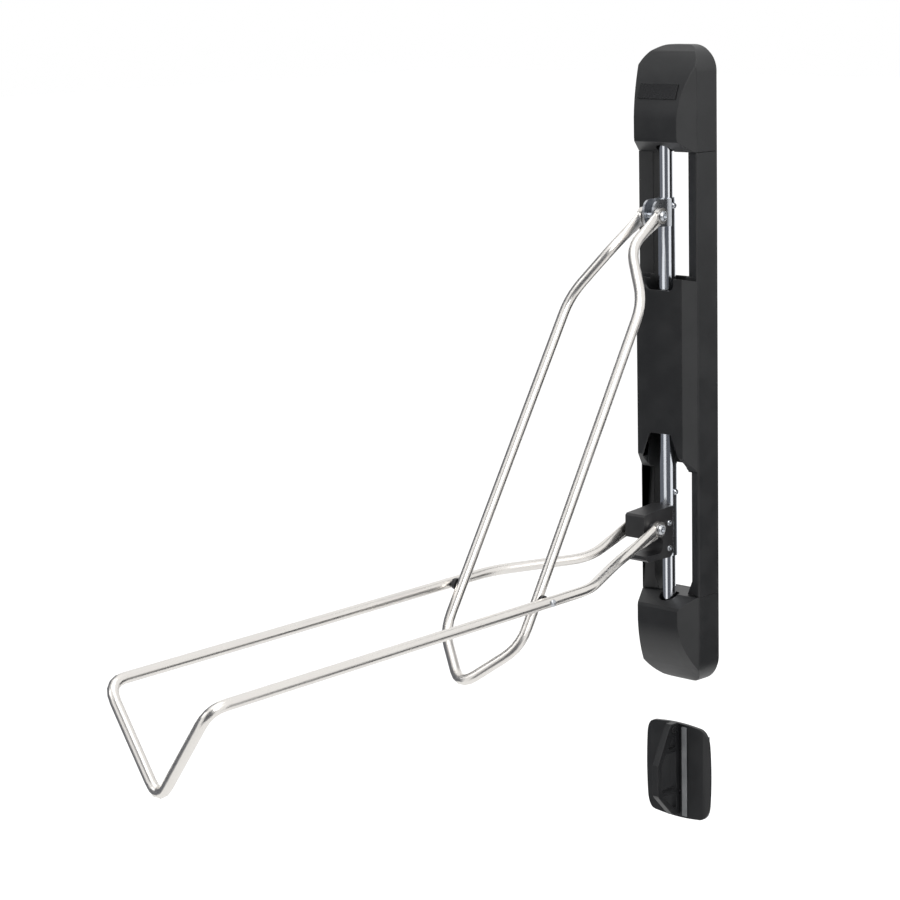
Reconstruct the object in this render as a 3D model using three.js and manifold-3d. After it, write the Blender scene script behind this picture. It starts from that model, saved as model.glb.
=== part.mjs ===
// A swivelling, fold-down bicycle wall rack: a black wall housing, a bright pole, two carriages on
// the pole, and two bent-rod arms that cross and are pinned together where they cross.
// Millimetres, +Z up. The wall is the plane y = 0 and the rack stands out towards -Y, so a depth d
// out from the wall is y = -d. The origin is on the wall at the middle of the housing.
import * as THREE from "three";
import { mergeVertices } from "three/addons/utils/BufferGeometryUtils.js";
import Module from "manifold-3d";

const wasm = await Module();
wasm.setup();

// Fits
const GAP = 0.3; // between faces that rest on each other
const RUN = 0.4; // around a pin or a shaft that turns

// Housing
const BODY_HEIGHT = 620;
const BODY_HALF = 36;
const PLATE_THICK = 3;
const PLATE_INSET = 2;
const CORNER_RADIUS = 25;
const RAIL_DEPTH = 33;
const UPPER_WINDOW_HALF = 21.5;
const LOWER_WINDOW_HALF = 23.5;
const RAIL_DISH = 5; // the rails' fronts fall back this far towards the windows
const COVER_HALF = 28;
const COVER_WALL = 2.8;
const COVER_ROOM = 1.3; // between the cover and the sleeves behind it
const CAP_HEIGHT = 90;
const HOOD_HEIGHT = 100;
const HOOD_DEPTH = 51;
const CAP_DEPTH = 53;
const NOSE_HALF = 26;
const COVER_TOP = 88;
const COVER_FOOT = -96;
const COVER_SLOPE = 14; // rise of the cover's foot from the rails to its front
const NOTCH_HALF = 17.5;
const NOTCH_DEPTH = 9;
const MOUTH_HALF = 24.5; // the cover's lower mouth, wide at the foot and narrow above
const MOUTH_TOP_HALF = 13;
const MOUTH_HEIGHT = 36;

// Pole and carriages
const POLE_RADIUS = 6.5;
const POLE_DEPTH = 34.5;
const POLE_SINK = 24; // how far each pole end goes into the hood and the cap
const SLEEVE_WALL = 1;
const LINER_WALL = 0.6;
const LINER_LENGTH = 14;
const UPPER_SLEEVE_LENGTH = 99;
const LOWER_SLEEVE_LENGTH = 127;
const UPPER_PIVOT = { d: 55.5, z: 151.2 };
const LOWER_PIVOT = { d: 70, z: -148 };
const UPPER_SLEEVE_ABOVE = 15.5; // sleeve's top above its pivot
const LOWER_SLEEVE_BELOW = 33; // sleeve's foot below its pivot
const EAR_THICK = 2.6;
const EAR_INNER = 4.6;
const EAR_ABOVE = 15;
const EAR_BELOW = 11;
const EAR_AHEAD = 6.5; // from the pivot to the ears' front edge
const BLOCK_WALL = 3.1;
const BLOCK_ROOM = 0.4; // between the block and the rods beside it

// Arms
const ROD_RADIUS = 5;
const EYE_ROOM = 0.6; // between the clevis ears and the eyes
const EYE_RADIUS = 7.6;
const EYE_THICK = 5;
const PIVOT_PIN_RADIUS = 3;
const LONG_FLARE_X = 61;
const LONG_TIP_X = 64;
const LONG_REACH = 680;
const SHORT_FLARE_X = 44.5;
const SHORT_END_X = 47.2;
const CROSS_PIN_RADIUS = 1.8;
const SPACER_RADIUS = 5.3;

// Tyre rest, a separate plate on the same wall below the housing
const REST_DROP = 45; // from the housing's foot to the rest
const REST_HEIGHT = 93.5;
const REST_HALF = 41;
const REST_BACK = 20.5; // the rest's plate stands off the wall on a boss
const REST_FACE = 24.5;
const REST_BOSS_HALF = 22;
const REST_BOSS_HEIGHT = 64;
const REST_FIN_DEPTH = 58;
const REST_FIN_HALF = 3.5;

const black = new THREE.MeshStandardMaterial({ color: 0x1d1e20, roughness: 0.55, metalness: 0 });
const softBlack = new THREE.MeshStandardMaterial({ color: 0x26272a, roughness: 0.7, metalness: 0 });
const badgeBlack = new THREE.MeshStandardMaterial({ color: 0x0c0c0d, roughness: 0.35, metalness: 0 });
const rodSilver = new THREE.MeshStandardMaterial({ color: 0xc9c5bf, roughness: 0.35, metalness: 1 });
const chrome = new THREE.MeshStandardMaterial({ color: 0xd6d9de, roughness: 0.15, metalness: 1 });
const plated = new THREE.MeshStandardMaterial({ color: 0x9fa4ab, roughness: 0.3, metalness: 1 });
const greyStrip = new THREE.MeshStandardMaterial({ color: 0x6b6d70, roughness: 0.6, metalness: 0 });

const rack = new THREE.Group();

// Sizes that follow from the fits, outwards from the pole
const linerInner = POLE_RADIUS + GAP / 2;
const linerOuter = linerInner + LINER_WALL;
const sleeveInner = linerOuter + GAP / 2;
const sleeveOuter = sleeveInner + SLEEVE_WALL;
const coverDepth = POLE_DEPTH + sleeveOuter + COVER_ROOM + COVER_WALL;
const earOuter = EAR_INNER + EAR_THICK;
const upperEyeX = earOuter + EYE_ROOM + EYE_THICK / 2;
const blockHalf = sleeveOuter + GAP + BLOCK_WALL;
const lowerEyeX = blockHalf + BLOCK_ROOM + ROD_RADIUS;

// A closed geometry as a solid for joining and cutting.
function solid(geometry) {
  const bare = geometry.index ? geometry.toNonIndexed() : geometry.clone();
  bare.deleteAttribute("normal");
  bare.deleteAttribute("uv");
  const merged = mergeVertices(bare, 1e-4);
  const mesh = new wasm.Mesh({
    numProp: 3,
    vertProperties: merged.attributes.position.array,
    triVerts: new Uint32Array(merged.index.array),
  });
  return new wasm.Manifold(mesh);
}

// A solid back as a geometry with flat faces.
function geometryOf(body) {
  const mesh = body.getMesh();
  const geometry = new THREE.BufferGeometry();
  geometry.setAttribute("position", new THREE.BufferAttribute(new Float32Array(mesh.vertProperties), 3));
  geometry.setIndex(new THREE.BufferAttribute(new Uint32Array(mesh.triVerts), 1));
  const flat = geometry.toNonIndexed();
  flat.computeVertexNormals();
  return flat;
}

function add(name, shape, material) {
  const geometry = shape.isBufferGeometry ? shape : geometryOf(shape);
  const mesh = new THREE.Mesh(geometry, material);
  mesh.name = name;
  rack.add(mesh);
}

function outline(points) {
  return new THREE.Shape(points.map(([u, v]) => new THREE.Vector2(u, v)));
}

function extrude(shape, length, curveSegments = 8) {
  return new THREE.ExtrudeGeometry(shape, { depth: length, bevelEnabled: false, curveSegments });
}

// A front outline in (x, z), standing from depth `from` to depth `to` out from the wall.
function frontPrism(shape, from, to) {
  const geometry = extrude(shape, to - from);
  return solid(geometry.rotateX(Math.PI / 2).translate(0, -from, 0));
}

// A side shape in (y, z), from x = `left` to x = `right`.
function sideSlice(shape, left, right) {
  const geometry = extrude(shape, right - left);
  const turn = new THREE.Matrix4().makeBasis(
    new THREE.Vector3(0, 1, 0),
    new THREE.Vector3(0, 0, 1),
    new THREE.Vector3(1, 0, 0),
  );
  return solid(geometry.applyMatrix4(turn).translate(left, 0, 0));
}

// The same from a list of (d, z) points.
function sidePrism(points, left, right) {
  return sideSlice(outline(points.map(([d, z]) => [-d, z])), left, right);
}

// A plan outline in (x, d), from height `low` to height `high`.
function planPrism(points, low, high) {
  const geometry = extrude(outline(points.map(([x, d]) => [x, -d])), high - low);
  return solid(geometry.translate(0, 0, low));
}

function box(left, right, near, far, low, high) {
  const geometry = new THREE.BoxGeometry(right - left, far - near, high - low);
  return solid(geometry.translate((left + right) / 2, -(near + far) / 2, (low + high) / 2));
}

// A turned solid from (radius, height) points; its axis lies along z, x or out from the wall.
function turned(points, axis, segments = 24) {
  const geometry = new THREE.LatheGeometry(points.map(([r, h]) => new THREE.Vector2(r, h)), segments);
  if (axis === "z") geometry.rotateX(Math.PI / 2);
  if (axis === "x") geometry.rotateZ(-Math.PI / 2);
  if (axis === "-x") geometry.rotateZ(Math.PI / 2);
  if (axis === "out") geometry.rotateX(Math.PI);
  return geometry;
}

function rod(radius, length, axis, segments = 24) {
  return turned([[0, 0], [radius, 0], [radius, length], [0, length]], axis, segments);
}

function ring(inner, outer, length, axis, segments = 24) {
  const profile = [[inner, 0], [outer, 0], [outer, length], [inner, length], [inner, 0]];
  return turned(profile, axis, segments);
}

// A screw with a domed head and a round drive recess; its head points along the axis.
function screw(headRadius, headHeight, shankRadius, shankLength, axis, segments = 16) {
  const socket = headRadius * 0.45;
  const profile = [
    [0, -shankLength],
    [shankRadius, -shankLength],
    [shankRadius, 0],
    [headRadius, 0],
    [headRadius, headHeight * 0.45],
    [headRadius * 0.7, headHeight],
    [socket, headHeight],
    [socket, headHeight * 0.4],
    [0, headHeight * 0.4],
  ];
  return turned(profile, axis, segments);
}

// A rounded rectangle in (x, z) whose top or foot corners are round.
function slab(half, low, high, radiusLow, radiusHigh) {
  const shape = new THREE.Shape();
  shape.moveTo(-half + radiusLow, low);
  shape.lineTo(half - radiusLow, low);
  if (radiusLow > 0) shape.absarc(half - radiusLow, low + radiusLow, radiusLow, -Math.PI / 2, 0, false);
  shape.lineTo(half, high - radiusHigh);
  if (radiusHigh > 0) shape.absarc(half - radiusHigh, high - radiusHigh, radiusHigh, 0, Math.PI / 2, false);
  shape.lineTo(-half + radiusHigh, high);
  const leftHigh = radiusHigh - half;
  if (radiusHigh > 0) shape.absarc(leftHigh, high - radiusHigh, radiusHigh, Math.PI / 2, Math.PI, false);
  shape.lineTo(-half, low + radiusLow);
  const leftLow = radiusLow - half;
  if (radiusLow > 0) shape.absarc(leftLow, low + radiusLow, radiusLow, Math.PI, Math.PI * 1.5, false);
  return shape;
}

// A cubic curve in (d, z), and points along it with its ends included.
function bow(...points) {
  return new THREE.CubicBezierCurve(...points.map((p) => new THREE.Vector2(...p)));
}

function along(curve, steps) {
  return curve.getPoints(steps).map((p) => [p.x, p.y]);
}

// ---------------------------------------------------------------- housing
const bodyTop = BODY_HEIGHT / 2;
const bodyFoot = -BODY_HEIGHT / 2;
const hoodFoot = bodyTop - HOOD_HEIGHT;
const capTop = bodyFoot + CAP_HEIGHT;
const shellBack = PLATE_THICK + GAP;
const railFront = RAIL_DEPTH - RAIL_DISH;
const coverFrontFoot = COVER_FOOT + COVER_SLOPE;
const mouthTop = COVER_FOOT + MOUTH_HEIGHT;
const poleTop = hoodFoot + POLE_SINK;
const poleFoot = capTop - POLE_SINK;
const poleLength = poleTop - poleFoot;
const bushInner = POLE_RADIUS + RUN;
const bushOuter = bushInner + 2.6;
const bushLength = 14;
const wallScrewX = 12;
const wallScrewHead = 5;
const wallScrewZ = [bodyTop - 38, bodyFoot + 38];

// Side chamfers shared by the cover, the hood and the cap, as a plan outline.
function plan(noseHalf, depth) {
  return [
    [-BODY_HALF, shellBack],
    [BODY_HALF, shellBack],
    [BODY_HALF, RAIL_DEPTH - 1],
    [BODY_HALF - 1, RAIL_DEPTH],
    [noseHalf, depth],
    [-noseHalf, depth],
    [1 - BODY_HALF, RAIL_DEPTH],
    [-BODY_HALF, RAIL_DEPTH - 1],
  ];
}

// Back plate: flat against the wall, open behind both windows, with four wall screws.
let plate = frontPrism(slab(BODY_HALF - PLATE_INSET, bodyFoot + 2, bodyTop - 2, 23, 23), 0, PLATE_THICK);
plate = plate.subtract(box(-UPPER_WINDOW_HALF, UPPER_WINDOW_HALF, -1, 9, COVER_TOP, hoodFoot));
plate = plate.subtract(box(-LOWER_WINDOW_HALF, LOWER_WINDOW_HALF, -1, 9, capTop, COVER_FOOT));
for (const z of wallScrewZ) {
  for (const x of [-wallScrewX, wallScrewX]) {
    const hole = solid(rod(2.5 + RUN, 9, "out", 16).translate(x, 1, z));
    plate = plate.subtract(hole);
  }
}
add("back_plate", plate, black);
["top", "bottom"].forEach((end, i) => {
  [["left", -wallScrewX], ["right", wallScrewX]].forEach(([side, x]) => {
    const piece = screw(wallScrewHead, 3, 2.5, PLATE_THICK + GAP, "out");
    add(`wall_screw_${end}_${side}`, piece.translate(x, -PLATE_THICK - GAP, wallScrewZ[i]), plated);
  });
});

// Body shell: two side rails joined by the raised middle cover, hollow behind the cover.
const shellSide = [
  [shellBack, capTop + GAP],
  [RAIL_DEPTH, capTop + GAP],
  [RAIL_DEPTH, COVER_FOOT],
  [coverDepth, coverFrontFoot],
  [coverDepth, COVER_TOP + 3],
  [RAIL_DEPTH, COVER_TOP],
  [RAIL_DEPTH, hoodFoot - GAP],
  [shellBack, hoodFoot - GAP],
];
let shell = planPrism(plan(COVER_HALF, coverDepth), capTop, hoodFoot);
shell = shell.intersect(sidePrism(shellSide, -60, 60));
const coverMiddle = (COVER_TOP + COVER_FOOT) / 2;
const hollow = coverDepth - COVER_WALL;
shell = shell.subtract(box(-UPPER_WINDOW_HALF, UPPER_WINDOW_HALF, 0, hollow, coverMiddle, hoodFoot + 1));
shell = shell.subtract(box(-LOWER_WINDOW_HALF, LOWER_WINDOW_HALF, 0, hollow, capTop - 1, coverMiddle + 1));
for (const [half, low, high] of [
  [UPPER_WINDOW_HALF, COVER_TOP + 4, hoodFoot + 1],
  [LOWER_WINDOW_HALF, capTop - 1, COVER_FOOT - 1],
]) {
  const edge = BODY_HALF - 1.5;
  const dish = [
    [-edge, RAIL_DEPTH],
    [-half, railFront],
    [half, railFront],
    [edge, RAIL_DEPTH],
    [edge, coverDepth + 9],
    [-edge, coverDepth + 9],
  ];
  shell = shell.subtract(planPrism(dish, low, high));
}
for (const side of [-1, 1]) {
  const wall = side * (LOWER_WINDOW_HALF + 0.5);
  const corner = outline([
    [wall, capTop + GAP],
    [side * (LOWER_WINDOW_HALF - 6), capTop + GAP],
    [wall, capTop + 16],
  ]);
  shell = shell.add(frontPrism(corner, shellBack, railFront));
}
const mouth = outline([
  [-MOUTH_HALF, COVER_FOOT - 5],
  [MOUTH_HALF, COVER_FOOT - 5],
  [MOUTH_HALF, COVER_FOOT + 9],
  [MOUTH_TOP_HALF, mouthTop],
  [-MOUTH_TOP_HALF, mouthTop],
  [-MOUTH_HALF, COVER_FOOT + 9],
]);
shell = shell.subtract(frontPrism(mouth, RAIL_DEPTH + 3, 80));
const notch = slab(NOTCH_HALF, COVER_TOP - NOTCH_DEPTH, COVER_TOP + 9, 6, 0);
shell = shell.subtract(frontPrism(notch, RAIL_DEPTH + 3, 80));
add("body_shell", shell, black);

// A pocket in the hood or the cap for the pole's end and its bush, and two for the screw heads.
function pockets(body, low, high, screwZ) {
  const well = solid(rod(bushOuter + GAP, high - low, "z").translate(0, -POLE_DEPTH, low));
  let cut = body.subtract(well);
  for (const x of [-wallScrewX, wallScrewX]) {
    cut = cut.subtract(solid(rod(wallScrewHead + 1, 9, "out", 16).translate(x, -1, screwZ)));
  }
  return cut;
}

// Top hood: round-shouldered, leaning out to a lip over the upper window.
const hoodFace = bow(
  [HOOD_DEPTH, hoodFoot + 32],
  [HOOD_DEPTH - 2, hoodFoot + 60],
  [34, bodyTop - 20],
  [24, bodyTop - 6],
);
const hoodSide = [
  [shellBack, hoodFoot],
  [RAIL_DEPTH + 1, hoodFoot],
  [HOOD_DEPTH - 1, hoodFoot + 10],
  [HOOD_DEPTH, hoodFoot + 14],
  ...along(hoodFace, 10),
  [14, bodyTop],
  [shellBack, bodyTop],
];
let hood = planPrism(plan(NOSE_HALF, HOOD_DEPTH), hoodFoot - 5, bodyTop + 5);
hood = hood.intersect(sidePrism(hoodSide, -60, 60));
hood = hood.intersect(frontPrism(slab(BODY_HALF, hoodFoot - 5, bodyTop, 0, CORNER_RADIUS), 0, 80));
hood = pockets(hood, hoodFoot - 5, poleTop + GAP, wallScrewZ[0]);
add("top_hood", hood, black);

// Badge: a thin blank tile laid on the hood's leaning face.
const badgeHalf = 23;
const badgeHeight = 15;
const badgeThick = 0.8;
const badgeSpot = hoodFace.getPoint(0.33);
const badgeSlope = hoodFace.getTangent(0.33);
const badgeLean = Math.atan2(-badgeSlope.x, badgeSlope.y);
const badge = new THREE.BoxGeometry(badgeHalf * 2, badgeThick, badgeHeight);
badge.translate(0, -badgeThick / 2 - GAP, 0).rotateX(-badgeLean);
add("hood_badge", badge.translate(0, -badgeSpot.x, badgeSpot.y), badgeBlack);

// Bottom cap: the hood's lower twin, falling back to the wall below a short upright front.
const capFace = bow(
  [19, bodyFoot + 2],
  [34, bodyFoot + 16],
  [CAP_DEPTH - 2, bodyFoot + 40],
  [CAP_DEPTH, capTop - 26],
);
const capSide = [
  [shellBack, capTop],
  [shellBack, bodyFoot],
  [15, bodyFoot],
  ...along(capFace, 10),
  [CAP_DEPTH, capTop - 12],
  [CAP_DEPTH - 1.5, capTop - 9],
  [RAIL_DEPTH + 1, capTop],
];
let cap = planPrism(plan(NOSE_HALF - 1, CAP_DEPTH), bodyFoot - 5, capTop + 5);
cap = cap.intersect(sidePrism(capSide, -60, 60));
cap = cap.intersect(frontPrism(slab(BODY_HALF, bodyFoot, capTop + 5, CORNER_RADIUS, 0), 0, 80));
cap = pockets(cap, poleFoot - GAP, capTop + 5, wallScrewZ[1]);
add("bottom_cap", cap, black);

// ---------------------------------------------------------------- pole and bushes
add("pole", rod(POLE_RADIUS, poleLength, "z", 32).translate(0, -POLE_DEPTH, poleFoot), chrome);
for (const [end, foot] of [["top", hoodFoot + 8], ["bottom", capTop - 10 - bushLength]]) {
  const bush = ring(bushInner, bushOuter, bushLength, "z");
  add(`pole_bush_${end}`, bush.translate(0, -POLE_DEPTH, foot), softBlack);
}

// ---------------------------------------------------------------- carriages
// A sleeve on the pole with a liner in each end and a grub screw in its side.
function carriage(name, foot, length, screwHeight) {
  const hole = solid(rod(1.6, 9, "x", 12).translate(sleeveInner - 2, -POLE_DEPTH, screwHeight));
  const tube = solid(ring(sleeveInner, sleeveOuter, length, "z", 32).translate(0, -POLE_DEPTH, foot));
  add(`${name}_sleeve`, tube.subtract(hole), chrome);
  const liner = () => ring(linerInner, linerOuter, LINER_LENGTH, "z", 32);
  add(`${name}_liner_top`, liner().translate(0, -POLE_DEPTH, foot + length - LINER_LENGTH - 1), softBlack);
  add(`${name}_liner_bottom`, liner().translate(0, -POLE_DEPTH, foot + 1), softBlack);
  const grub = screw(3, 2, 1.6 - GAP, SLEEVE_WALL, "x", 12);
  add(`${name}_sleeve_screw`, grub.translate(sleeveOuter + GAP, -POLE_DEPTH, screwHeight), plated);
}

// A pivot bolt along x: a shaft with a domed head at each end outside the arm's eyes.
function pivotBolt(name, pivot, eyeX) {
  const reach = eyeX + EYE_THICK / 2 + RUN;
  const profile = [
    [0, -reach - 2.6],
    [3.4, -reach - 2.6],
    [5, -reach - 1.4],
    [5, -reach],
    [PIVOT_PIN_RADIUS, -reach],
    [PIVOT_PIN_RADIUS, reach],
    [5, reach],
    [5, reach + 1.4],
    [3.4, reach + 2.6],
    [2, reach + 2.6],
    [2, reach + 1.2],
    [0, reach + 1.2],
  ];
  add(name, turned(profile, "x").translate(0, -pivot.d, pivot.z), plated);
}

// A hole for a pivot bolt, fitted or free.
function pivotHole(pivot, clearance) {
  return solid(rod(PIVOT_PIN_RADIUS + clearance, 60, "x").translate(-30, -pivot.d, pivot.z));
}

// Upper carriage: a bent saddle on the front of the sleeve, with two ears for the short arm.
const upperFoot = UPPER_PIVOT.z + UPPER_SLEEVE_ABOVE - UPPER_SLEEVE_LENGTH;
carriage("upper", upperFoot, UPPER_SLEEVE_LENGTH, UPPER_PIVOT.z + 8);
const earLow = UPPER_PIVOT.z - EAR_BELOW;
const earHigh = UPPER_PIVOT.z + EAR_ABOVE;
const saddleOuter = sleeveOuter + GAP + 1.8;
const bore = (low, high) => solid(rod(sleeveOuter + GAP, high - low, "z", 32).translate(0, -POLE_DEPTH, low));
let clevis = solid(rod(saddleOuter, earHigh - earLow, "z", 32).translate(0, -POLE_DEPTH, earLow));
clevis = clevis.subtract(box(-60, 60, 0, POLE_DEPTH + 4, earLow - 1, earHigh + 1));
const earFace = new THREE.Shape();
const earTip = -(UPPER_PIVOT.d + EAR_AHEAD);
earFace.moveTo(-POLE_DEPTH - 5, earLow);
earFace.lineTo(-POLE_DEPTH - 5, earHigh);
earFace.lineTo(earTip + 12, earHigh);
earFace.quadraticCurveTo(earTip, earHigh, earTip, earHigh - 12);
earFace.lineTo(earTip, UPPER_PIVOT.z);
earFace.quadraticCurveTo(earTip, earLow, earTip + 10, earLow);
for (const side of [-1, 1]) {
  const inner = side < 0 ? -earOuter : EAR_INNER;
  clevis = clevis.add(sideSlice(earFace, inner, inner + EAR_THICK));
}
clevis = clevis.subtract(bore(earLow - 9, earHigh + 9));
add("upper_clevis", clevis.subtract(pivotHole(UPPER_PIVOT, GAP)), plated);
pivotBolt("upper_pivot_bolt", UPPER_PIVOT, upperEyeX);

// Lower carriage: a solid nose block bolted across the front of the sleeve.
const lowerFoot = LOWER_PIVOT.z - LOWER_SLEEVE_BELOW;
carriage("lower", lowerFoot, LOWER_SLEEVE_LENGTH, LOWER_PIVOT.z + 30);
const blockTop = LOWER_PIVOT.z + 18;
const blockFoot = LOWER_PIVOT.z - 32;
const blockBack = POLE_DEPTH + 7.5;
const blockNose = LOWER_PIVOT.d + 15.5;
const lipEnd = LOWER_PIVOT.d + 12;
const lipTop = blockFoot + 6;
const noseFoot = LOWER_PIVOT.z - 9;
const blockHollow = bow(
  [LOWER_PIVOT.d - 6, lipTop],
  [LOWER_PIVOT.d - 16, lipTop],
  [LOWER_PIVOT.d - 16, noseFoot],
  [LOWER_PIVOT.d - 4, noseFoot],
);
const blockSide = [
  [blockBack, blockTop],
  [blockBack, blockFoot + 4],
  [blockBack + 4, blockFoot],
  [lipEnd - 3, blockFoot],
  [lipEnd, blockFoot + 2.5],
  [lipEnd, lipTop],
  ...along(blockHollow, 8),
  [blockNose, noseFoot + 1],
  [blockNose, LOWER_PIVOT.z + 13],
  [blockNose - 2, LOWER_PIVOT.z + 15],
  [blockBack + 4, blockTop],
];
let block = sidePrism(blockSide, -blockHalf, blockHalf);
block = block.subtract(bore(blockFoot - 9, blockTop + 9));
block = block.subtract(pivotHole(LOWER_PIVOT, GAP));
const blockBolts = [
  { d: POLE_DEPTH + 14, z: LOWER_PIVOT.z + 2 },
  { d: POLE_DEPTH + 14, z: LOWER_PIVOT.z - 23 },
];
for (const { d, z } of blockBolts) {
  block = block.subtract(solid(rod(1.8 + GAP, 60, "x", 12).translate(-30, -d, z)));
}
add("pivot_block", block, softBlack);
blockBolts.forEach(({ d, z }, i) => {
  const reach = blockHalf + GAP;
  const bolt = turned(
    [
      [0, -reach - 1.6],
      [2.6, -reach - 1.6],
      [3.2, -reach],
      [1.8, -reach],
      [1.8, reach],
      [3.2, reach],
      [2.6, reach + 1.6],
      [1.2, reach + 1.6],
      [1.2, reach + 0.7],
      [0, reach + 0.7],
    ],
    "x",
    16,
  );
  add(`block_bolt_${i + 1}`, bolt.translate(0, -d, z), plated);
});
pivotBolt("lower_pivot_bolt", LOWER_PIVOT, lowerEyeX);
const eyeInner = lowerEyeX - EYE_THICK / 2;
for (const [side, x] of [["right", blockHalf + GAP], ["left", GAP - eyeInner]]) {
  const washer = ring(PIVOT_PIN_RADIUS + GAP, 6, eyeInner - blockHalf - 2 * GAP, "x");
  add(`pivot_washer_${side}`, washer.translate(x, -LOWER_PIVOT.d, LOWER_PIVOT.z), plated);
}

// ---------------------------------------------------------------- arms
// The centreline of a bent rod: straight runs with a few points round each bend. Each point is one
// step of the sweep, so the straight runs take no extra faces.
class BentLine extends THREE.Curve {
  constructor(corners, bendRadius) {
    super();
    this.points = [corners[0]];
    for (let i = 1; i < corners.length - 1; i++) {
      const back = corners[i - 1].clone().sub(corners[i]);
      const on = corners[i + 1].clone().sub(corners[i]);
      const reach = Math.min(bendRadius, back.length() * 0.45, on.length() * 0.45);
      const start = corners[i].clone().addScaledVector(back.normalize(), reach);
      const end = corners[i].clone().addScaledVector(on.normalize(), reach);
      const bend = new THREE.QuadraticBezierCurve3(start, corners[i], end);
      this.points.push(...bend.getPoints(5));
    }
    this.points.push(corners[corners.length - 1]);
  }
  get steps() {
    return this.points.length - 1;
  }
  getPoint(t, target = new THREE.Vector3()) {
    const place = t * this.steps;
    const i = Math.min(Math.floor(place), this.steps - 1);
    return target.lerpVectors(this.points[i], this.points[i + 1], place - i);
  }
  getUtoTmapping(u) {
    return u;
  }
}

// One arm: both legs and the V end bent from one rod, with a flattened eye at each end.
// `half` lists the near leg's corners as (x, d, z) from the first bend to the V's point.
function bentArm(pivot, eyeX, half, holes) {
  const at = ([x, d, z]) => new THREE.Vector3(x, -d, z);
  const start = at([eyeX, pivot.d, pivot.z]);
  const toward = at(half[0]).sub(start).normalize();
  start.addScaledVector(toward, EYE_RADIUS * 0.7);
  const near = [start, ...half.map(at)];
  const far = near.slice(0, -1).reverse().map((p) => new THREE.Vector3(-p.x, p.y, p.z));
  const line = new BentLine([...near, ...far], 18);
  const section = new THREE.Shape().absarc(0, 0, ROD_RADIUS, 0, Math.PI * 2);
  const sweep = new THREE.ExtrudeGeometry(section, {
    steps: line.steps,
    extrudePath: line,
    bevelEnabled: false,
    curveSegments: 7,
  });
  // Flatten the rod towards each eye.
  const position = sweep.attributes.position;
  for (let i = 0; i < position.count; i++) {
    const x = position.getX(i);
    const away = Math.hypot(position.getY(i) + pivot.d, position.getZ(i) - pivot.z);
    const ease = THREE.MathUtils.smoothstep(away, EYE_RADIUS, EYE_RADIUS + 22);
    const squash = THREE.MathUtils.lerp((EYE_THICK / 2 - 0.2) / ROD_RADIUS, 1, ease);
    const centre = Math.sign(x) * eyeX;
    if (ease === 1) continue;
    position.setX(i, centre + (x - centre) * squash);
    const across = -(position.getY(i) + pivot.d) * toward.z + (position.getZ(i) - pivot.z) * toward.y;
    const spread = across * (THREE.MathUtils.lerp(EYE_RADIUS / ROD_RADIUS, 1, ease) - 1) * 0.92;
    position.setY(i, position.getY(i) - spread * toward.z);
    position.setZ(i, position.getZ(i) + spread * toward.y);
  }
  let arm = solid(sweep);
  for (const side of [-1, 1]) {
    const left = side * eyeX - EYE_THICK / 2;
    arm = arm.add(solid(rod(EYE_RADIUS, EYE_THICK, "x", 28).translate(left, -pivot.d, pivot.z)));
  }
  arm = arm.subtract(pivotHole(pivot, RUN));
  for (const hole of holes) arm = arm.subtract(hole);
  return arm;
}

// Where the two arms cross, seen from the side, on both rods' centrelines.
const longStart = { d: 220.5, z: -172.7 };
const longEnd = { d: LONG_REACH, z: -185.5 };
const shortStart = { d: 124, z: 78.3 };
const shortEnd = { d: 300, z: -213.3 };
const longSlope = (longEnd.z - longStart.z) / (longEnd.d - longStart.d);
const shortSlope = (shortEnd.z - shortStart.z) / (shortEnd.d - shortStart.d);
const crossRise = shortStart.z - longStart.z - shortSlope * shortStart.d + longSlope * longStart.d;
const crossD = crossRise / (longSlope - shortSlope);
const crossZ = longStart.z + longSlope * (crossD - longStart.d);
const longShare = (crossD - longStart.d) / (longEnd.d - longStart.d);
const shortShare = (crossD - shortStart.d) / (shortEnd.d - shortStart.d);
const railX = THREE.MathUtils.lerp(LONG_FLARE_X, LONG_TIP_X, longShare);
const legX = THREE.MathUtils.lerp(SHORT_FLARE_X, SHORT_END_X, shortShare);

const crossHole = solid(rod(CROSS_PIN_RADIUS + GAP, 200, "x", 16).translate(-100, -crossD, crossZ));
const longCorners = [
  [lowerEyeX, LOWER_PIVOT.d + 61, LOWER_PIVOT.z - 21.5],
  [LONG_FLARE_X, longStart.d, longStart.z],
  [LONG_TIP_X, longEnd.d, longEnd.z],
  [0, LONG_REACH + 2.5, longEnd.z - 87.5],
];
add("long_arm", bentArm(LOWER_PIVOT, lowerEyeX, longCorners, [crossHole]), rodSilver);
const shortCorners = [
  [upperEyeX, UPPER_PIVOT.d + 44, UPPER_PIVOT.z - 25.5],
  [SHORT_FLARE_X, shortStart.d, shortStart.z],
  [SHORT_END_X, shortEnd.d, shortEnd.z],
  [0, shortEnd.d + 30.5, shortEnd.z - 37.5],
];
add("short_arm", bentArm(UPPER_PIVOT, upperEyeX, shortCorners, []), rodSilver);

// Crossing pins and spacers: they ride on the long arm and stop just clear of the short arm's legs.
const spacerInner = legX + ROD_RADIUS + GAP;
const spacerOuter = railX - ROD_RADIUS - GAP;
for (const [name, side] of [["right", 1], ["left", -1]]) {
  const axis = side > 0 ? "x" : "-x";
  const spacer = ring(CROSS_PIN_RADIUS + GAP, SPACER_RADIUS, spacerOuter - spacerInner, axis, 20);
  add(`cross_spacer_${name}`, spacer.translate(side * spacerInner, -crossD, crossZ), softBlack);
  const headSeat = railX + ROD_RADIUS + GAP;
  const pin = turned(
    [
      [0, spacerInner],
      [CROSS_PIN_RADIUS, spacerInner],
      [CROSS_PIN_RADIUS, headSeat],
      [3.6, headSeat],
      [3, headSeat + 1.2],
      [1.4, headSeat + 1.9],
      [0, headSeat + 2],
    ],
    axis,
    16,
  );
  add(`cross_pin_${name}`, pin.translate(0, -crossD, crossZ), plated);
}

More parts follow.
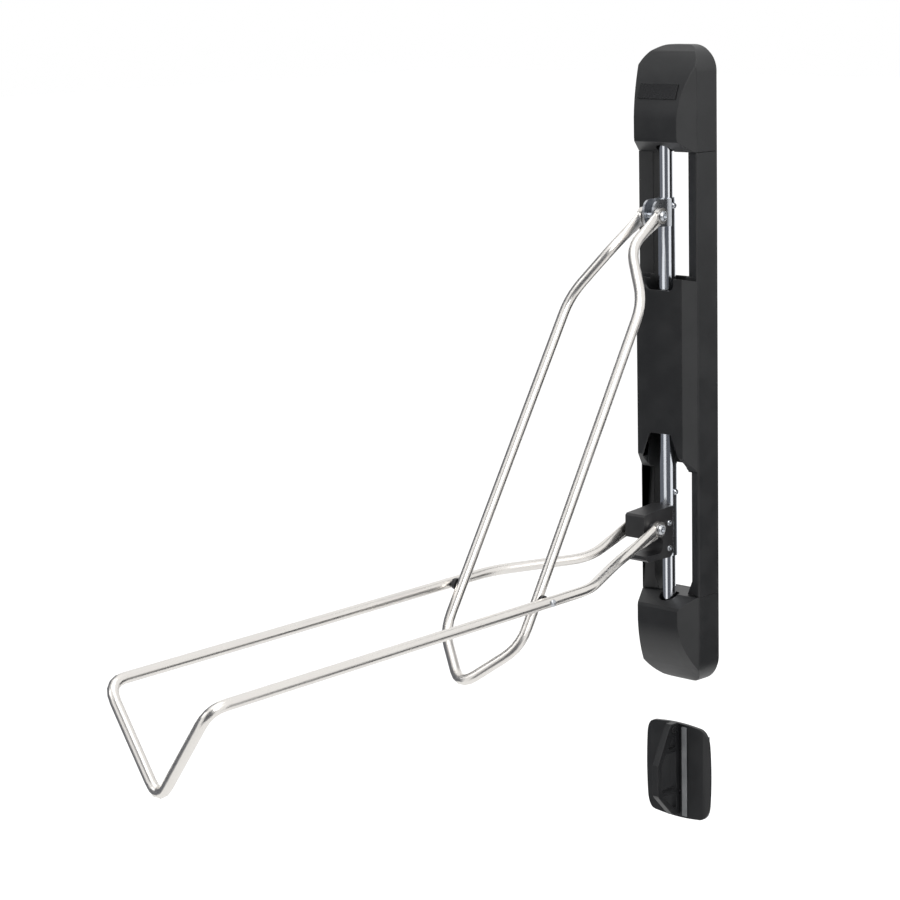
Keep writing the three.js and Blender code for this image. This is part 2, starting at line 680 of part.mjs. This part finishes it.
// ---------------------------------------------------------------- tyre rest
const restTop = bodyFoot - REST_DROP;
const restFoot = restTop - REST_HEIGHT;
const restMiddle = (restTop + restFoot) / 2;

// Base: a slightly crowned plate with rounded corners, held off the wall by a boss behind it.
const restPlan = [
  [-REST_HALF - 1, REST_BACK],
  [REST_HALF + 1, REST_BACK],
  [REST_HALF + 1, REST_BACK + 1.5],
  [REST_HALF - 8, REST_FACE],
  [8 - REST_HALF, REST_FACE],
  [-REST_HALF - 1, REST_BACK + 1.5],
];
const restFace = new THREE.Shape();
restFace.moveTo(-REST_HALF + 16, restFoot);
restFace.quadraticCurveTo(0, restFoot - 3, REST_HALF - 16, restFoot);
restFace.quadraticCurveTo(REST_HALF - 3, restFoot, REST_HALF - 1.5, restFoot + 16);
restFace.quadraticCurveTo(REST_HALF + 1, restMiddle, REST_HALF - 1.5, restTop - 16);
restFace.quadraticCurveTo(REST_HALF - 3, restTop, REST_HALF - 16, restTop);
restFace.quadraticCurveTo(0, restTop + 3, -REST_HALF + 16, restTop);
restFace.quadraticCurveTo(3 - REST_HALF, restTop, 1.5 - REST_HALF, restTop - 16);
restFace.quadraticCurveTo(-REST_HALF - 1, restMiddle, 1.5 - REST_HALF, restFoot + 16);
restFace.quadraticCurveTo(3 - REST_HALF, restFoot, -REST_HALF + 16, restFoot);
let rest = planPrism(restPlan, restFoot - 5, restTop + 5);
rest = rest.intersect(frontPrism(restFace, -1, 60));
const bossLow = restMiddle - REST_BOSS_HEIGHT / 2;
rest = rest.add(box(-REST_BOSS_HALF, REST_BOSS_HALF, 0, REST_BACK + 1, bossLow, bossLow + REST_BOSS_HEIGHT));
const restScrewZ = [restTop - 26, restFoot + 26];
const restScrewSeat = REST_FACE - 4;
for (const z of restScrewZ) {
  rest = rest.subtract(solid(rod(2 + RUN, 30, "out", 16).translate(0, 1, z)));
  rest = rest.subtract(solid(rod(3.6, 30, "out", 16).translate(0, -restScrewSeat, z)));
}
add("rest_base", rest, black);
restScrewZ.forEach((z, i) => {
  const piece = screw(3.2, 2.2, 2, restScrewSeat, "out", 14);
  add(`rest_screw_${i + 1}`, piece.translate(0, -restScrewSeat - GAP, z), plated);
});

// Fin: a D-shaped frame with two ribs across it, standing out from the plate to part the spokes.
// It covers the plate's screws.
const finBack = REST_FACE + GAP;
const finTop = restTop + 3;
const finFoot = restFoot + 2.5;
const finPin = { d: finBack + 8.2, z: finTop - 6.5 };
const finSide = [
  [finBack, finTop - 4],
  [finBack + 3, finTop],
  [finPin.d + 4, finTop],
  [finPin.d + 8, finTop - 5],
  [REST_FIN_DEPTH - 2, finTop - 34.5],
  [REST_FIN_DEPTH, finTop - 38],
  [REST_FIN_DEPTH, finFoot + 25],
  [REST_FIN_DEPTH - 2, finFoot + 22],
  [finBack + 11, finFoot + 1],
  [finBack + 7, finFoot],
  [finBack, finFoot],
];
let fin = sidePrism(finSide, -REST_FIN_HALF, REST_FIN_HALF);
const spineFront = finBack + 5.5;
const gripBack = REST_FIN_DEPTH - 6;
const finHoles = [
  [
    [spineFront, finTop - 14],
    [spineFront + 5, finTop - 14],
    [spineFront + 11, finTop - 25],
    [spineFront, finTop - 25],
  ],
  [
    [spineFront, finTop - 29],
    [gripBack - 7, finTop - 29],
    [gripBack, finTop - 39],
    [gripBack, finFoot + 27],
    [spineFront, finFoot + 27],
  ],
  [
    [spineFront, finFoot + 22.5],
    [gripBack - 3, finFoot + 22.5],
    [spineFront + 3, finFoot + 7],
    [spineFront, finFoot + 7],
  ],
];
for (const points of finHoles) fin = fin.subtract(sidePrism(points, -20, 20));
fin = fin.subtract(solid(rod(2.5 + GAP, 60, "x", 20).translate(-30, -finPin.d, finPin.z)));
add("rest_fin", fin, black);
const finPinReach = REST_FIN_HALF + GAP;
const finPinProfile = [
  [0, -finPinReach - 1],
  [4.2, -finPinReach - 1],
  [4.2, -finPinReach],
  [2.5, -finPinReach],
  [2.5, finPinReach],
  [4.2, finPinReach],
  [4.2, finPinReach + 1],
  [0, finPinReach + 1],
];
add("rest_fin_pin", turned(finPinProfile, "x", 20).translate(0, -finPin.d, finPin.z), badgeBlack);

// Strip: the pale strip laid on the plate to the right of the fin.
const stripLeft = REST_FIN_HALF + 3.7;
const stripWidth = 6;
const stripSeat = REST_FACE + GAP;
const strip = box(stripLeft, stripLeft + stripWidth, stripSeat, stripSeat + 1.4, restFoot + 1, restTop - 1);
add("rest_strip", strip, greyStrip);

export default rack;
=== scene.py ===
import math

import bmesh
import bpy
from mathutils import Matrix, Vector


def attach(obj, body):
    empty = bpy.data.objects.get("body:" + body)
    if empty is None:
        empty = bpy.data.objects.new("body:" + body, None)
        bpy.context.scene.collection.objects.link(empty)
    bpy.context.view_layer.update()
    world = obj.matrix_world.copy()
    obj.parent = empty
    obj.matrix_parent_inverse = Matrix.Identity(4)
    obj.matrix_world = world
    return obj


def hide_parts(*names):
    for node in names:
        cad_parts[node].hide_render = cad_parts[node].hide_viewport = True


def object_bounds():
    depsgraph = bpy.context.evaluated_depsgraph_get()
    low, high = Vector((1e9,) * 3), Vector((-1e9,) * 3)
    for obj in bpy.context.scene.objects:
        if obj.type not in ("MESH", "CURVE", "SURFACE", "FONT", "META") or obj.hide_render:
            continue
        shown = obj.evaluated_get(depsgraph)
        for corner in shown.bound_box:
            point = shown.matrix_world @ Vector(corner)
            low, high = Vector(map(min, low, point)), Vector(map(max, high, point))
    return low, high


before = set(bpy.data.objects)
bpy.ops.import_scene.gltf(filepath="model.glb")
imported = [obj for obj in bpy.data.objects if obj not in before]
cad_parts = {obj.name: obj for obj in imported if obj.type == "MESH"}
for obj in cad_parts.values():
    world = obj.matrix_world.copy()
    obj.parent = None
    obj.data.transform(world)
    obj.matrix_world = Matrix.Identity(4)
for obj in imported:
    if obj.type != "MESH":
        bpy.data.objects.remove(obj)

solid_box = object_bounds()

# ---------------------------------------------------------------- back plate
# A flat moulded plate that is screwed to the wall and carries everything else. Black
# glass-filled plastic with the fine spark-eroded grain of its mould.


class Wire:
    """One value in a material, so that sums and products of values read as sums and products."""

    def __init__(self, finish, socket):
        self.finish = finish
        self.socket = socket

    def maths(self, operation, *values):
        return self.finish.node("ShaderNodeMath", {"operation": operation}, dict(enumerate(values)))

    def __add__(self, other):
        return self.maths("ADD", self, other)

    __radd__ = __add__

    def __rsub__(self, other):
        return self.maths("SUBTRACT", other, self)

    def __mul__(self, other):
        return self.maths("MULTIPLY", self, other)

    __rmul__ = __mul__

    def ramp(self, low, high):
        """0 below low, 1 above high, and smooth between."""
        settings = {"interpolation_type": "SMOOTHSTEP"}
        values = {"Value": self, "From Min": low, "From Max": high}
        return self.finish.node("ShaderNodeMapRange", settings, values)


class Finish:
    """A surface finish: one Principled shader and the nodes that vary it."""

    def __init__(self, name, colour, roughness, metallic=0.0, coat=0.0):
        self.material = bpy.data.materials.new(name)
        self.material.use_nodes = True
        self.tree = self.material.node_tree
        self.shader = self.tree.nodes["Principled BSDF"]
        self.material.diffuse_color = (*colour, 1)
        self.set("Base Color", (*colour, 1))
        self.set("Roughness", roughness)
        self.set("Metallic", metallic)
        self.set("Coat Weight", coat)

    def set(self, socket, value):
        if isinstance(value, Wire):
            self.tree.links.new(value.socket, self.shader.inputs[socket])
        else:
            self.shader.inputs[socket].default_value = value

    def node(self, kind, settings, values, output=0):
        made = self.tree.nodes.new(kind)
        for key, value in settings.items():
            setattr(made, key, value)
        for key, value in values.items():
            if isinstance(value, Wire):
                self.tree.links.new(value.socket, made.inputs[key])
            else:
                made.inputs[key].default_value = value
        return Wire(self, made.outputs[output])

    def place(self, stretch=(1, 1, 1)):
        """The surface point in metres, stretched along the axes."""
        point = self.node("ShaderNodeTexCoord", {}, {}, "Object")
        return self.node("ShaderNodeMapping", {}, {"Vector": point, "Scale": stretch})

    def noise(self, per_metre, detail=2.0, stretch=(1, 1, 1)):
        values = {"Vector": self.place(stretch), "Scale": per_metre, "Detail": detail}
        return self.node("ShaderNodeTexNoise", {}, values, "Fac")

    def mix(self, amount, first, second):
        settings = {"data_type": "RGBA"}
        values = {0: amount, 6: (*first, 1), 7: (*second, 1)}
        return self.node("ShaderNodeMix", settings, values, 2)

    def bump(self, height, strength, distance):
        values = {"Height": height, "Strength": strength, "Distance": distance}
        self.set("Normal", self.node("ShaderNodeBump", {}, values))


def dress(name, body, finish, ease=0.0, steps=3, corner=28.0, smooth=38.0):
    """Stands in for a solid, with its corners eased by `ease` metres and its round faces smooth.

    An edge over `corner` degrees is eased, and shading is smooth across one under `smooth`.
    """
    same_point = 3e-6
    flat_angle = math.radians(0.6)
    shape = bmesh.new()
    shape.from_mesh(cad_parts[name].data)
    bmesh.ops.remove_doubles(shape, verts=shape.verts, dist=same_point)
    if ease > 0:
        bmesh.ops.dissolve_limit(
            shape,
            angle_limit=flat_angle,
            verts=shape.verts,
            edges=shape.edges,
        )
        limit = math.radians(corner)
        sharp = [e for e in shape.edges if e.is_manifold and e.calc_face_angle(0) > limit]
        bmesh.ops.bevel(
            shape,
            geom=sharp,
            offset=ease,
            segments=steps,
            profile=0.5,
            affect="EDGES",
            clamp_overlap=True,
            material=-1,
        )
    for face in shape.faces:
        face.smooth = True
    for edge in shape.edges:
        edge.smooth = edge.is_manifold and edge.calc_face_angle(0) < math.radians(smooth)
    mesh = bpy.data.meshes.new(name + "_look")
    shape.to_mesh(mesh)
    shape.free()
    mesh.materials.append(finish.material)
    piece = bpy.data.objects.new(name + "_look", mesh)
    bpy.context.collection.objects.link(piece)
    if ease > 0:
        weighted = piece.modifiers.new("flat faces", "WEIGHTED_NORMAL")
        weighted.keep_sharp = True
    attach(piece, body)
    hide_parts(name)
    return piece


def moulded(name, colour, lighter, roughness, grain=2600, depth=0.16):
    """Black moulded plastic: a fine even grain, a faint mottle and shinier rubbed spots."""
    finish = Finish(name, colour, roughness)
    mottle = finish.noise(38, 3).ramp(0.35, 0.7)
    finish.set("Base Color", finish.mix(mottle, colour, lighter))
    rubbed = finish.noise(90, 2).ramp(0.5, 0.8)
    finish.set("Roughness", roughness - 0.05 * rubbed + 0.04 * mottle)
    finish.bump(finish.noise(grain, 3), depth, 0.0002)
    return finish


deep_black = (0.0050, 0.0054, 0.0062)
soft_black = (0.0080, 0.0084, 0.0092)
housing_black = moulded("moulded black", deep_black, soft_black, 0.42)
dress("back_plate", "housing", housing_black, 0.0006, 2)

# ---------------------------------------------------------------- wall screws
# Four pan-head steel screws that hold the back plate to the wall, hidden by the hood and cap.
# Zinc plate, slightly clouded.


def plating(name, colour, roughness):
    """Zinc or nickel plate: bright metal with a faint cloudy sheen."""
    finish = Finish(name, colour, roughness, 1.0)
    cloud = finish.noise(110, 2).ramp(0.3, 0.75)
    finish.set("Base Color", finish.mix(cloud, colour, tuple(c * 0.9 for c in colour)))
    finish.set("Roughness", roughness + 0.06 * cloud)
    return finish


zinc = plating("zinc plate", (0.62, 0.64, 0.67), 0.24)
for end in ("top", "bottom"):
    for side in ("left", "right"):
        dress(f"wall_screw_{end}_{side}", "housing", zinc, 0.0003, 2)

# ---------------------------------------------------------------- pole and bushes
# A ground steel tube, polished and chromed, that turns in a nylon bush at each end. The
# polishing leaves faint rings round it.
chrome = Finish("chromed tube", (0.80, 0.82, 0.86), 0.09, 1.0)
rings = chrome.noise(14, 2, (0.2, 0.2, 4.0))
chrome.set("Roughness", 0.08 + 0.05 * rings.ramp(0.35, 0.75))
dress("pole", "swivel_pole", chrome, 0.0006, 3)
nylon = moulded("black nylon", (0.011, 0.011, 0.012), (0.017, 0.017, 0.018), 0.42, 1800, 0.1)
for end in ("top", "bottom"):
    dress(f"pole_bush_{end}", "housing", nylon, 0.0004, 2)

# ---------------------------------------------------------------- body shell
# The two side rails and the raised cover between them, one moulding. Its edges are rounded
# by the mould, and it carries the same fine grain as the back plate.
dress("body_shell", "housing", housing_black, 0.0007, 3)

# ---------------------------------------------------------------- top hood
# A round-shouldered cap that leans out to a lip over the pole. Moulded, with large soft
# edges on the outside.
dress("top_hood", "housing", housing_black, 0.0014, 4, 24.0)

# ---------------------------------------------------------------- hood badge
# A thin blank tile set on the hood's face, smoother and darker than the moulding round it.
badge_black = Finish("badge lacquer", (0.0045, 0.0045, 0.005), 0.26, 0.0, 0.3)
badge_black.set("Roughness", 0.24 + 0.06 * badge_black.noise(60, 2))
dress("hood_badge", "housing", badge_black, 0.00025, 2)

# ---------------------------------------------------------------- bottom cap
# The hood's lower twin, with a short upright front that falls back to the wall.
dress("bottom_cap", "housing", housing_black, 0.0014, 4, 24.0)

# ---------------------------------------------------------------- upper carriage
# A thin chromed sleeve that slides on the pole on two nylon liners. A bent steel clevis hugs
# it and holds the short arm's pivot bolt, and a small screw nips the sleeve to the pole.
sleeve_chrome = Finish("chromed sleeve", (0.74, 0.77, 0.82), 0.14, 1.0)
sleeve_rings = sleeve_chrome.noise(14, 2, (0.2, 0.2, 4.0))
sleeve_chrome.set("Roughness", 0.12 + 0.06 * sleeve_rings.ramp(0.35, 0.75))
nickel = plating("nickel plate", (0.56, 0.58, 0.61), 0.27)


def sleeve_set(which):
    body = f"{which}_carriage"
    dress(f"{which}_sleeve", body, sleeve_chrome, 0.0003, 2)
    dress(f"{which}_liner_top", body, nylon)
    dress(f"{which}_liner_bottom", body, nylon)
    dress(f"{which}_sleeve_screw", body, zinc, 0.00025, 2)
    dress(f"{which}_pivot_bolt", body, nickel, 0.0004, 3)


sleeve_set("upper")
dress("upper_clevis", "upper_carriage", nickel, 0.0005, 3)

# ---------------------------------------------------------------- lower carriage
# The same sleeve with a deep nylon nose block bolted across its front. The block spreads the
# long arm's eyes and takes its pivot bolt, with a washer each side.
sleeve_set("lower")
dress("pivot_block", "lower_carriage", nylon, 0.0010, 3)
for i in (1, 2):
    dress(f"block_bolt_{i}", "lower_carriage", nickel, 0.0003, 2)
for side in ("right", "left"):
    dress(f"pivot_washer_{side}", "lower_carriage", zinc, 0.0002, 2)

# ---------------------------------------------------------------- arms
# Two cradles, each bent from one length of round steel rod whose ends are forged flat and
# drilled. Satin nickel over the drawn surface, warm and softly blurred.
warm_nickel = (0.80, 0.775, 0.74)
satin = Finish("satin nickel rod", warm_nickel, 0.30, 1.0)
haze = satin.noise(16, 2).ramp(0.3, 0.75)
satin.set("Base Color", satin.mix(haze, warm_nickel, (0.76, 0.735, 0.705)))
satin.set("Roughness", 0.25 + 0.06 * haze)
dress("long_arm", "long_arm_body", satin, smooth=50.0)
dress("short_arm", "short_arm_body", satin, smooth=50.0)

# ---------------------------------------------------------------- crossing pins
# A riveted pin on each side joins the arms where they cross, with a black spacer between the
# two rods.
for side in ("right", "left"):
    dress(f"cross_spacer_{side}", "long_arm_body", nylon, 0.0005, 3)
    dress(f"cross_pin_{side}", "long_arm_body", nickel, 0.0003, 2)

# ---------------------------------------------------------------- tyre rest
# A second moulding screwed to the wall below: a crowned plate on a standoff for the tyre, and
# a D-shaped fin that parts the spokes, covers the screws and keeps the wheel from swinging.
dress("rest_base", "housing", housing_black, 0.0012, 3)
dress("rest_fin", "housing", housing_black, 0.0008, 3)
dress("rest_fin_pin", "housing", badge_black, 0.0004, 2)
# A strip of lighter grey plastic down the rest plate, with the same grain and mottle as the
# moulding.
grey_edge = moulded("light grey strip", (0.10, 0.103, 0.107), (0.15, 0.153, 0.157), 0.5, 1400, 0.12)
dress("rest_strip", "housing", grey_edge, 0.0004, 2)
for i in (1, 2):
    dress(f"rest_screw_{i}", "housing", zinc, 0.0003, 2)

# ---------------------------------------------------------------- room, lights and camera
# A pale floor well below the rack, a white surround, broad soft lamps, and dark curved cards
# that show only in reflections, so that the tubes read as round.
low, high = solid_box
floor_drop = 0.45
floor_mesh = bpy.data.meshes.new("floor")
sheet = bmesh.new()
bmesh.ops.create_grid(sheet, x_segments=1, y_segments=1, size=20)
bmesh.ops.translate(sheet, verts=sheet.verts, vec=(0, 0, low.z - floor_drop))
sheet.to_mesh(floor_mesh)
sheet.free()
floor = bpy.data.objects.new("floor", floor_mesh)
bpy.context.collection.objects.link(floor)
floor_paint = Finish("pale floor", (0.9, 0.9, 0.9), 0.9)
floor_paint.set("Emission Color", (1, 1, 1, 1))
floor_paint.set("Emission Strength", 0.16)
floor_mesh.materials.append(floor_paint.material)
floor.visible_glossy = False

world = bpy.context.scene.world or bpy.data.worlds.new("surround")
bpy.context.scene.world = world
world.use_nodes = True
surround = world.node_tree.nodes["Background"]
surround.inputs["Color"].default_value = (1, 1, 1, 1)
surround.inputs["Strength"].default_value = 1.0
bpy.context.scene.view_settings.view_transform = "Standard"


def lamp(name, place, target, size, power):
    light = bpy.data.lights.new(name, "AREA")
    light.shape = "RECTANGLE"
    light.size, light.size_y = size
    light.energy = power
    holder = bpy.data.objects.new(name, light)
    holder.location = place
    holder.rotation_euler = (Vector(target) - Vector(place)).to_track_quat("-Z", "Y").to_euler()
    bpy.context.collection.objects.link(holder)


lamp("key", (2.4, -1.2, 1.6), (0, -0.1, 0), (1.4, 1.8), 42)
lamp("front", (-1.4, -2.6, 1.2), (0, -0.3, 0), (1.2, 1.2), 8)
lamp("top", (0.2, -0.8, 2.6), (0, -0.3, 0), (1.6, 1.6), 22)


card_radius = 3.4
card_steps = 12


def card(name, start, end, foot, top, shade):
    """A curved card round the rack between two angles in plan; only reflections show it."""
    mesh = bpy.data.meshes.new(name)
    sheet = bmesh.new()
    pairs = []
    for i in range(card_steps + 1):
        angle = math.radians(start + (end - start) * i / card_steps)
        x, y = card_radius * math.cos(angle), card_radius * math.sin(angle)
        pairs.append((sheet.verts.new((x, y, foot)), sheet.verts.new((x, y, top))))
    for (a, b), (c, d) in zip(pairs, pairs[1:]):
        sheet.faces.new((a, b, d, c))
    sheet.to_mesh(mesh)
    sheet.free()
    paint = Finish(name + "_paint", (0.0, 0.0, 0.0), 1.0)
    paint.set("Specular IOR Level", 0.0)
    paint.set("Emission Color", (shade * 0.94, shade * 0.98, shade * 1.08, 1))
    paint.set("Emission Strength", 1.0)
    mesh.materials.append(paint.material)
    piece = bpy.data.objects.new(name, mesh)
    bpy.context.collection.objects.link(piece)
    piece.visible_camera = False
    piece.visible_diffuse = False
    piece.visible_shadow = False


card("card_behind_camera", -80, -24, -2.4, 2.8, 0.12)
card("card_right", 26, 80, -2.4, -0.2, 0.05)
card("card_left", 160, 246, -2.4, 2.8, 0.16)

camera_data = bpy.data.cameras.new("camera")
camera_data.sensor_width = 36
camera_data.lens = 108.5
camera_data.clip_end = 100
camera = bpy.data.objects.new("camera", camera_data)
azimuth, pitch, roll = math.radians(44.45), math.radians(10.41), math.radians(-1.26)
station = Matrix.Translation((1.6565, -2.0246, 0.4010))
aim = Matrix.Rotation(azimuth, 4, "Z") @ Matrix.Rotation(math.pi / 2 - pitch, 4, "X")
camera.matrix_world = station @ aim @ Matrix.Rotation(roll, 4, "Z")
bpy.context.collection.objects.link(camera)
bpy.context.scene.camera = camera
